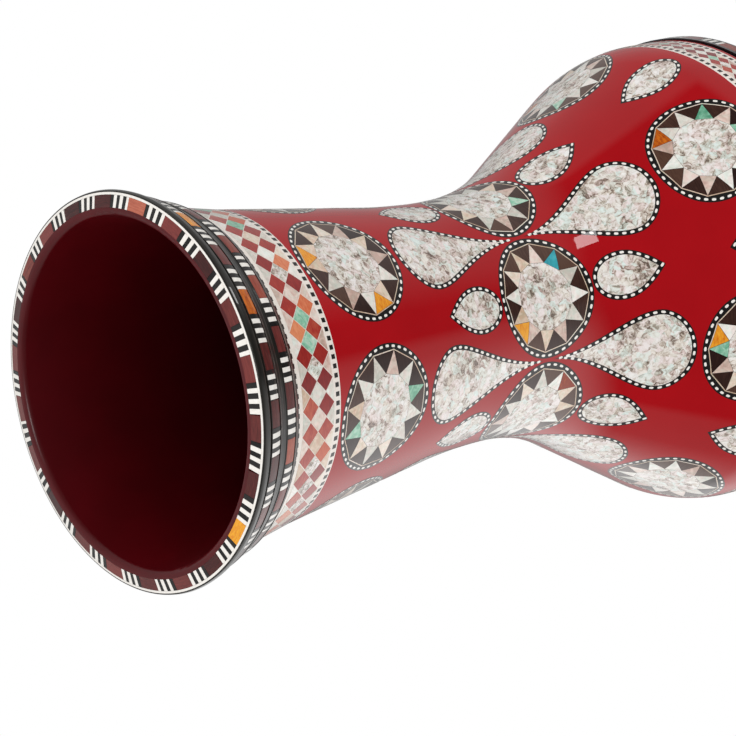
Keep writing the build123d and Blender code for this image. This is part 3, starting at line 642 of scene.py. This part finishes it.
def shrink(points, gap):
    # a small convex outline moved in by about half a glue line
    cx, cz = sum(p[0] for p in points) / len(points), sum(p[1] for p in points) / len(points)
    near = min(abs((b[0] - a[0]) * (a[1] - cz) - (a[0] - cx) * (b[1] - a[1])) / math.hypot(b[0] - a[0],
        b[1] - a[1])
               for a, b in zip(points, points[1:] + points[:1]))
    share = 1 - gap / near
    return [(cx + (x - cx) * share, cz + (z - cz) * share) for x, z in points]


def copyPlates(outline, turns, top, bottom, material=lambda k: 0, step=None):
    filled = flatFill(outline, step)
    return [plate(filled, t, top, bottom, material(k), rng.random()) for k, t in enumerate(turns)]


def evenTurns(count, start=0.0):
    return [math.radians(start) + 2 * math.pi * k / count for k in range(count)]


def diamondBand(prefix, band, nodes):
    pitch = 2 * math.pi / band["count"]
    low, high = band["diamondLow"], band["diamondHigh"]
    half, mid = (high - low) / 4, (low + high) / 2
    rows = (low + half, high - half)
    gap = inlay["joint"]

    def wide(z):
        return float(surfaceAt(z)[0]) * pitch * band["share"]

    turns = evenTurns(band["count"], band["start"])
    between = [t + pitch / 2 for t in turns]
    reds = []
    for z in rows:
        diamond = [(0, z - half), (wide(z), z), (0, z + half), (-wide(z), z)]
        reds += copyPlates(shrink(diamond, gap), turns, 0, inlay["bed"],
                           lambda k: 1 if rng.random() < 0.16 else 0)
    pearls = copyPlates(shrink([(0, mid - half), (wide(mid), mid), (0, mid + half), (-wide(mid), mid)], gap),
                        between, 0, inlay["bed"], lambda k: rng.choice((0, 1, 2, 2, 3, 4) if k % 5 else (3, 4)))
    edges = []
    for foot, tip in ((low, rows[0]), (high, rows[1])):
        halfDiamond = [(-wide(foot) * 0.97, foot), (wide(foot) * 0.97, foot), (0, tip)]
        halfDiamond = halfDiamond if tip > foot else halfDiamond[::-1]
        edges += copyPlates(shrink(halfDiamond, gap), between, 0, inlay["bed"],
                            lambda k: rng.choice((0, 1, 2, 2, 2)))
    buildPiece(prefix + "RedDiamonds", reds, [dyedShell, orangeShell], replaces=nodes["red"])
    buildPiece(prefix + "PearlDiamonds", pearls, [cream, pinkish, pale, pearl, green],
               replaces=nodes["pearl"])
    buildPiece(prefix + "ShellEdges", edges, [cream, pinkish, pale], replaces=nodes["edge"])
    buildPiece(prefix + "Bed", [surfaceRing(band["low"], band["high"], inlay["bed"], 1.1)], [boneBed],
               replaces=nodes["bed"], keepNormals=False)
    dashes = []
    dashPitch = 2 * math.pi / band["dashes"]
    for (z0, z1), share in ((band["lineLow"], band["dashLow"]), (band["lineHigh"], band["dashHigh"])):
        w = float(surfaceAt((z0 + z1) / 2)[0]) * dashPitch * share / 2
        dashes += copyPlates([(-w, z0), (w, z0), (w, z1), (-w, z1)],
            evenTurns(band["dashes"], band["dashStart"]),
                             0, inlay["bed"])
    buildPiece(prefix + "Dashes", dashes, [slipBlack], replaces=nodes["dash"])


diamondBand("checker", bellBand, {
    "red": ["checker_red_diamonds"], "pearl": ["checker_pearl_diamonds"], "edge": ["checker_ivory_edges"],
    "bed": ["lower_stringing"], "dash": ["upper_stringing"]})
diamondBand("shoulder", topBand, {"red": [], "pearl": [], "edge": [], "bed": ["shoulder_band"], "dash": []})
buildPiece("redLacquerCoat", [
    surfaceRing(bellBand["high"], topBand["low"], inlay["bed"], 1.1),
    surfaceRing(topBand["high"], 434.0, 0.02, 1.1)], [red], replaces=["red_lacquer"],
    keepNormals=False)
print("bands and lacquer made")


# roundels, drops and leaves
rope = {"width": 2.9, "beadLong": 2.7, "beadWide": 1.5, "pitch": 4.95, "lift": 0.02}
star = {"points": 12, "notch": 0.64, "margin": 0.4, "chord": 0.4}
roundels = {
    "bell": {"half": (37.0, 36.2), "z": 111.1, "start": 28.7},
    "waist": {"half": (34.9, 32.6), "z": 247.2, "start": -1.5},
    "bowl": {"half": (35.0, 31.2), "z": 369.0, "start": 27.5},
}
shellKinds = [cream, pinkish, pale, green, turquoise, amber]
pointWeights = (30, 34, 34, 2, 0, 0)
# chosen pieces, as (roundel, copy, point): shell
accents = {("waist", 0, 2): 4, ("bell", 0, 0): 3, ("bell", 0, 6): 3, ("bell", 0, 5): 0, ("bell", 0, 10): 2,
           ("bell", 0, 8): 2, ("bell", 5, 7): 2, ("bell", 5, 5): 0, ("bell", 5, 4): 0, ("bowl", 0, 6): 3}
amberWedges = {("bell", 5, 9), ("bell", 5, 5), ("bowl", 0, 5), ("waist", 1, 1), ("bowl", 5, 4)}
# stars laid with their points turned, in shares of the angle between points
starTurns = {("bell", 0): 0.5, ("bell", 5): 0.1, ("waist", 0): -0.23, ("waist", 1): 0.2, ("bell", 2): 0.4}


def ovalPoints(halfW, halfH, z, count, share=1.0, turn=0.0):
    # counter-clockwise from the top, seen from outside
    return [unroll(-share * halfW * math.sin(2 * math.pi * (k + turn) / count),
                   z + share * halfH * math.cos(2 * math.pi * (k + turn) / count)) for k in range(count)]


def ringFill(outer, inner):
    # the strip between two matched closed outlines, as a filled shape
    n = len(outer)
    points = np.array(list(outer) + list(inner))
    faces = [[i, (i + 1) % n, n + (i + 1) % n, n + i] for i in range(n)]
    rim = [(i, (i + 1) % n) for i in range(n)] + [(n + (i + 1) % n, n + i) for i in range(n)]
    return points, faces, rim


def beadsAlong(loop, turns):
    # rounded white beads set end to end along a closed line
    path = np.array(loop + loop[:1])
    _, slope = surfaceAt(path[:, 1])
    cosSlope = np.cos(slope)
    steps = np.diff(path, axis=0)
    steps[:, 1] /= (cosSlope[1:] + cosSlope[:-1]) / 2
    lengths = np.hypot(steps[:, 0], steps[:, 1])
    run = np.concatenate([[0], np.cumsum(lengths)])
    count = round(run[-1] / rope["pitch"])
    corner = []
    long, wide = rope["beadLong"] / 2, rope["beadWide"] / 2
    for k in range(12):
        angle = 2 * math.pi * k / 12
        u = math.copysign(abs(math.cos(angle)) ** 0.7, math.cos(angle)) * long
        v = math.copysign(abs(math.sin(angle)) ** 0.7, math.sin(angle)) * wide
        corner.append((u, v))
    chunks = []
    for b in range(count):
        s = run[-1] * (b + 0.5) / count
        i = min(len(lengths) - 1, int(np.searchsorted(run, s, side="right")) - 1)
        t = (s - run[i]) / lengths[i]
        at = path[i] + (path[i + 1] - path[i]) * t
        along = steps[i] / lengths[i]
        c = math.cos(float(surfaceAt(at[1])[1]))
        rings = []
        for share in (1.0, 0.72):
            rings += [(at[0] + share * (u * along[0] - v * along[1]),
                       at[1] + share * (u * along[1] + v * along[0]) * c) for u, v in corner]
        n = len(corner)
        points = np.array(rings)
        faces = [list(range(n, 2 * n))] + [[k, (k + 1) % n, n + (k + 1) % n, n + k] for k in range(n)]
        rim = [(k, (k + 1) % n) for k in range(n)]
        dome = np.array([0.03] * n + [0.0] * n)
        for turn in turns:
            chunks.append(plate((points, faces, rim), turn, -rope["lift"], inlay["bed"], 0, rng.random(),
                dome))
    return chunks


def makeRoundel(name, plan):
    halfW, halfH = plan["half"]
    z = plan["z"]
    turns = evenTurns(inlay["repeat"], plan["start"])
    frameShare = 1 - rope["width"] / halfH
    tipShare = frameShare - star["margin"] / halfH
    count = star["points"]
    outer = ovalPoints(halfW, halfH, z, 120)
    inner = ovalPoints(halfW, halfH, z, 120, frameShare)
    middle = ovalPoints(halfW, halfH, z, 120, (1 + frameShare) / 2)
    black = [plate(ringFill(outer, inner), t, inlay["ground"], inlay["bed"]) for t in turns]
    buildPiece(name + "RoundelBorders", black, [slipBlack], replaces=[name + "_roundel_borders"])
    buildPiece(name + "RoundelBeads", beadsAlong(middle, turns), [bone])
    ground = flatFill(inner)
    buildPiece(name + "RoundelGrounds", [plate(ground, t, inlay["ground"], inlay["bed"]) for t in turns],
               [slipBlack], replaces=[name + "_roundel_grounds"])
    wedges, points, chords, centres = [], [], [], []
    for copy, t in enumerate(turns):
        turn = starTurns.get((name, copy), 0.0)
        tips = ovalPoints(halfW, halfH, z, count, tipShare, turn)
        notches = ovalPoints(halfW, halfH, z, count, tipShare * star["notch"], turn + 0.5)
        chordIn = ovalPoints(halfW, halfH, z, count, tipShare - 0.1 / halfH, turn)
        chordOut = ovalPoints(halfW, halfH, z, count, tipShare + star["chord"] / halfH, turn)
        for k in range(count):
            after = (k + 1) % count
            key = (name, copy, k)
            wedge = flatFill(shrink([chordIn[k], notches[k], chordIn[after]], inlay["joint"]))
            point = flatFill(shrink([tips[k], notches[k - 1], notches[k]], inlay["joint"] / 2))
            chord = flatFill([chordOut[k], chordIn[k], chordIn[after], chordOut[after]])
            kind = accents.get(key, rng.choices(range(len(shellKinds)), pointWeights)[0])
            points.append(plate(point, t, 0, inlay["ground"], kind, rng.random()))
            lit = key in amberWedges or rng.random() < 0.02
            wedges.append(plate(wedge, t, 0.01, inlay["ground"], 1 if lit else 0, rng.random()))
            chords.append(plate(chord, t, 0.005, inlay["ground"], 0, rng.random()))
        centres.append(plate(flatFill(shrink(notches, inlay["joint"] / 2)), t, 0, inlay["ground"], 0,
            rng.random()))
    buildPiece(name + "RoundelWedges", wedges, [wedgeWood, amber])
    buildPiece(name + "RoundelChords", chords, [cream])
    buildPiece(name + "StarPoints", points, shellKinds, replaces=[name + "_roundel_stars"])
    buildPiece(name + "StarCentres", centres, [pearl])


dropBend, leafBend = (0.23, 0.1, 0.56), (0.44, 0.42, 0.76)
# half width, base, widest place and tip heights, bend of the sides, tip's setback in border widths, start
leafPlans = {
    "bellDrop": (23.6, 150.1, 170.1, 243.0, dropBend, 2.6, 28.5, "bell_drop"),
    "bowlDrop": (25.2, 335.0, 316.4, 251.0, dropBend, 2.6, 28.5, "bowl_drop"),
    "bellLeaf": (13.8, 214.1, 196.5, 170.0, leafBend, 1.3, -1.5, "bell_leaf"),
    "bowlLeaf": (14.3, 280.3, 298.9, 321.7, leafBend, 1.3, -2.5, "bowl_leaf"),
    "shoulderLeaf": (14.5, 399.0, 381.0, 356.5, leafBend, 1.3, -2.5, "shoulder_leaf"),
}


def cubic(p0, p1, p2, p3, steps):
    made = []
    for k in range(steps):
        t = k / steps
        weights = ((1 - t) ** 3, 3 * t * (1 - t) ** 2, 3 * t * t * (1 - t), t ** 3)
        made.append(tuple(sum(w * p[i] for w, p in zip(weights, (p0, p1, p2, p3))) for i in (0, 1)))
    return made


def drawnOut(halfW, base, widest, tip, bend, steps=22):
    # half an oval at its base, drawn out from its widest place to a tip; counter-clockwise from outside
    reach, pinchW, pinchAt = bend
    away, back, roundShare = tip - widest, base - widest, 0.5523
    loop = []
    for side in (1, -1):
        wide = side * halfW
        sideCurve = ((wide, widest), (wide, widest + reach * away),
            (pinchW * wide, widest + pinchAt * away), (0, tip))
        baseCurve = ((0, base), (roundShare * wide, base), (wide, widest + roundShare * back), (wide, widest))
        if side == 1:
            loop += cubic(*baseCurve, steps) + cubic(*sideCurve, steps)
        else:
            loop += cubic(*reversed(sideCurve), steps) + cubic(*reversed(baseCurve), steps)
    if tip < base:
        loop = loop[::-1]
    return [unroll(y, z) for y, z in loop]


def makeLeaf(name, plan):
    halfW, base, widest, tip, bend, setback, start, node = plan
    up = 1 if tip > base else -1
    w = rope["width"]
    outer = drawnOut(halfW, base, widest, tip, bend)
    inner = drawnOut(halfW - w, base + up * w, widest, tip - up * setback * w, bend)
    middle = [((a[0] + b[0]) / 2, (a[1] + b[1]) / 2) for a, b in zip(outer, inner)]
    turns = evenTurns(inlay["repeat"], start)
    buildPiece(name + "Borders", [plate(ringFill(outer, inner), t, inlay["ground"],
        inlay["bed"]) for t in turns],
               [slipBlack], replaces=[node + "_borders"])
    buildPiece(name + "Beads", beadsAlong(middle, turns), [bone])
    filled = flatFill(inner)
    buildPiece(name + "Pearls", [plate(filled, t, 0.02, inlay["bed"], 0, rng.random()) for t in turns],
        [pearl],
               replaces=[node + "_pearls"])


for name, plan in roundels.items():
    makeRoundel(name, plan)
for name, plan in leafPlans.items():
    makeLeaf(name, plan)
print("roundels, drops and leaves made")


# head end
def makeRingRow():
    low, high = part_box("ring_tiles")
    outerR, innerR = high.x / mm, high.x / mm - 1.2
    z0, z1 = low.z / mm, high.z / mm
    row = {"count": 28, "tile": 0.46, "start": 0.0, "wander": 0.0, "slips": "KWKWKW", "amber": (5, 17),
        "light": (2, 11, 23)}
    outline = [(outerR - 0.05, z0 + 0.02), (outerR - 0.05, z1 - 0.02), (innerR, z1 - 0.02),
        (innerR, z0 + 0.02)]
    tiles, slips = [], []
    mosaicRow(outline, row, tiles, slips)
    buildPiece("ringTiles", tiles, [rosewood, redwood, amber], "ring", ["ring_tiles"], False)
    buildPiece("ringSlips", slips, [bone, slipBlack], "ring", ["ring_slip_blocks"], False)


def dress(material, *names):
    # a CAD node that keeps its own shape gets its finish
    for name in names:
        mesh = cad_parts[name].data
        mesh.materials.clear()
        mesh.materials.append(material)


makeRingRow()
dress(enamel, "shell_casting")
dress(paint, "tension_ring")
dress(film, "drum_head")
dress(aluminium, "flesh_hoop")
dress(zinc, "ring_washers", *["tuning_bolt_" + str(k + 1) for k in range(8)])
print("head end made")


# studio
studio = {
    "camera": (1.8515, 0.0153, -1.3510),      # where the lens stands, m
    "right": (0.6176, 0.2268, 0.7531),        # the drum lies across the view
    "up": (0.1438, -0.9740, 0.1754),
    "lens": 205.43, "sensor": 36.0,
    "floorSize": 8.0, "floorColor": "#f1efec",
    "softboxes": (                  # (name, place, size, watts, aim)
        ("lipBox", (0.62, -0.05, -1.35), 0.34, 3.4, (0, 0, 0.0)),
        ("edgeBox", (1.5, -1.1, 0.5), 0.3, 2.0, (0, 0, 0.1))),
    "glossFloor": 0.05,             # least light that the gloss sees
    "fades": {                      # surround by direction: (axis, from, to, level at from, level at to)
        "sweepNear": ("Y", 0.03, 0.22, 0.0, 0.45),
        "sweepFar": ("Y", 0.2, 0.65, 0.0, 0.85),
        "sweepUp": ("Z", 0.02, 0.4, 0.0, 1.0),
        "wallSide": ("Y", -0.05, -0.6, 0.0, 0.4),
        "wallUp": ("Z", 0.05, 0.35, 0.0, 1.0),
        "behind": ("X", 0.12, -0.02, 0.0, 0.36),
        "diffuse": ("X", -0.2, 1.0, 1.05, 0.88)},
    "joins": (                      # (result, operation, of, and)
        ("sweepBoth", "ADD", "sweepNear", "sweepFar"),
        ("sweep", "MULTIPLY", "sweepBoth", "sweepUp"),
        ("wall", "MULTIPLY", "wallSide", "wallUp"),
        ("sides", "MAXIMUM", "sweep", "wall"),
        ("rear", "MAXIMUM", "behind", "floor"),
        ("seen", "MAXIMUM", "sides", "rear")),
}


def makeStudio():
    scene = bpy.context.scene
    right, up = Vector(studio["right"]).normalized(), Vector(studio["up"])
    back = right.cross(up).normalized()
    up = back.cross(right)
    data = bpy.data.cameras.new("studioCamera")
    data.lens, data.sensor_width = studio["lens"], studio["sensor"]
    data.clip_start, data.clip_end = 0.05, 50
    camera = bpy.data.objects.new("studioCamera", data)
    turn = Matrix((right, up, back)).transposed().to_4x4()
    camera.matrix_world = Matrix.Translation(studio["camera"]) @ turn
    scene.collection.objects.link(camera)
    scene.camera = camera

    # floor: seen from above only, because the drum is also looked at from under its rim
    mesh = bpy.data.meshes.new("studioFloor")
    half = studio["floorSize"] / 2
    mesh.from_pydata([(-half, -half, -0.0004), (half, -half, -0.0004), (half, half, -0.0004),
        (-half, half, -0.0004)],
                     [], [(0, 1, 2, 3)])
    floor = bpy.data.objects.new("studioFloor", mesh)
    scene.collection.objects.link(floor)
    material, tree = newMaterial("paleStudioPaper")
    place = addNode(tree, "ShaderNodeTexCoord").outputs["Object"]
    fibre = addNode(tree, "ShaderNodeTexNoise", inputs={"Vector": place, "Scale": 400.0, "Detail": 2.0})
    color = addNode(tree, "ShaderNodeValToRGB", {"stops": [(0.3, "#efedea"), (0.7, studio["floorColor"])]}, {
        "Fac": fibre.outputs["Fac"]}).outputs[0]
    paper = addNode(tree, "ShaderNodeBsdfDiffuse", inputs={"Color": color})
    side = addNode(tree, "ShaderNodeNewGeometry")
    clear = addNode(tree, "ShaderNodeBsdfTransparent")
    shader = addNode(tree, "ShaderNodeMixShader", inputs={
        0: side.outputs["Backfacing"], 1: paper.outputs[0], 2: clear.outputs[0]})
    closeMaterial(tree, shader)
    mesh.materials.append(material)
    floor.visible_shadow = floor.visible_diffuse = floor.visible_glossy = floor.visible_transmission = False

    # white surround; what the gloss sees of it is a bright sweep on +Y, a dim wall on -Y and darkness in front
    world = bpy.data.worlds.new("softSurround")
    scene.world = world
    world.use_nodes = True
    tree = world.node_tree
    tree.nodes.clear()
    direction = addNode(tree, "ShaderNodeTexCoord").outputs["Generated"]
    parts = addNode(tree, "ShaderNodeSeparateXYZ", inputs={0: direction})

    levels = {"floor": studio["glossFloor"]}
    for name, (axis, start, end, low, high) in studio["fades"].items():
        levels[name] = addNode(tree, "ShaderNodeMapRange", {"interpolation_type": "SMOOTHSTEP"}, {
            "Value": parts.outputs[axis], "From Min": start, "From Max": end, "To Min": low,
            "To Max": high}).outputs[0]
    for name, operation, a, b in studio["joins"]:
        levels[name] = addNode(tree, "ShaderNodeMath", {"operation": operation}, {
            0: levels[a], 1: levels[b]}).outputs[0]
    path = addNode(tree, "ShaderNodeLightPath")
    level = addNode(tree, "ShaderNodeMix", {"data_type": "FLOAT"}, {
        0: path.outputs["Is Glossy Ray"], 2: levels["diffuse"], 3: levels["seen"]})
    shown = addNode(tree, "ShaderNodeMix", {"data_type": "FLOAT"}, {
        0: path.outputs["Is Camera Ray"], 2: level.outputs[0], 3: 1.0})
    surround = addNode(tree, "ShaderNodeBackground",
        inputs={"Color": (1, 1, 1, 1), "Strength": shown.outputs[0]})
    addNode(tree, "ShaderNodeOutputWorld", inputs={"Surface": surround.outputs[0]})

    for name, place, size, watts, aim in studio["softboxes"]:
        light = bpy.data.lights.new(name, "AREA")
        light.shape, light.size, light.energy = "SQUARE", size, watts
        lamp = bpy.data.objects.new(name, light)
        lamp.location = place
        lamp.rotation_euler = (Vector(aim) - Vector(place)).to_track_quat("-Z", "Y").to_euler()
        scene.collection.objects.link(lamp)
    scene.view_settings.view_transform = "Standard"
    scene.view_settings.look = "None"


makeStudio()
print("studio made")
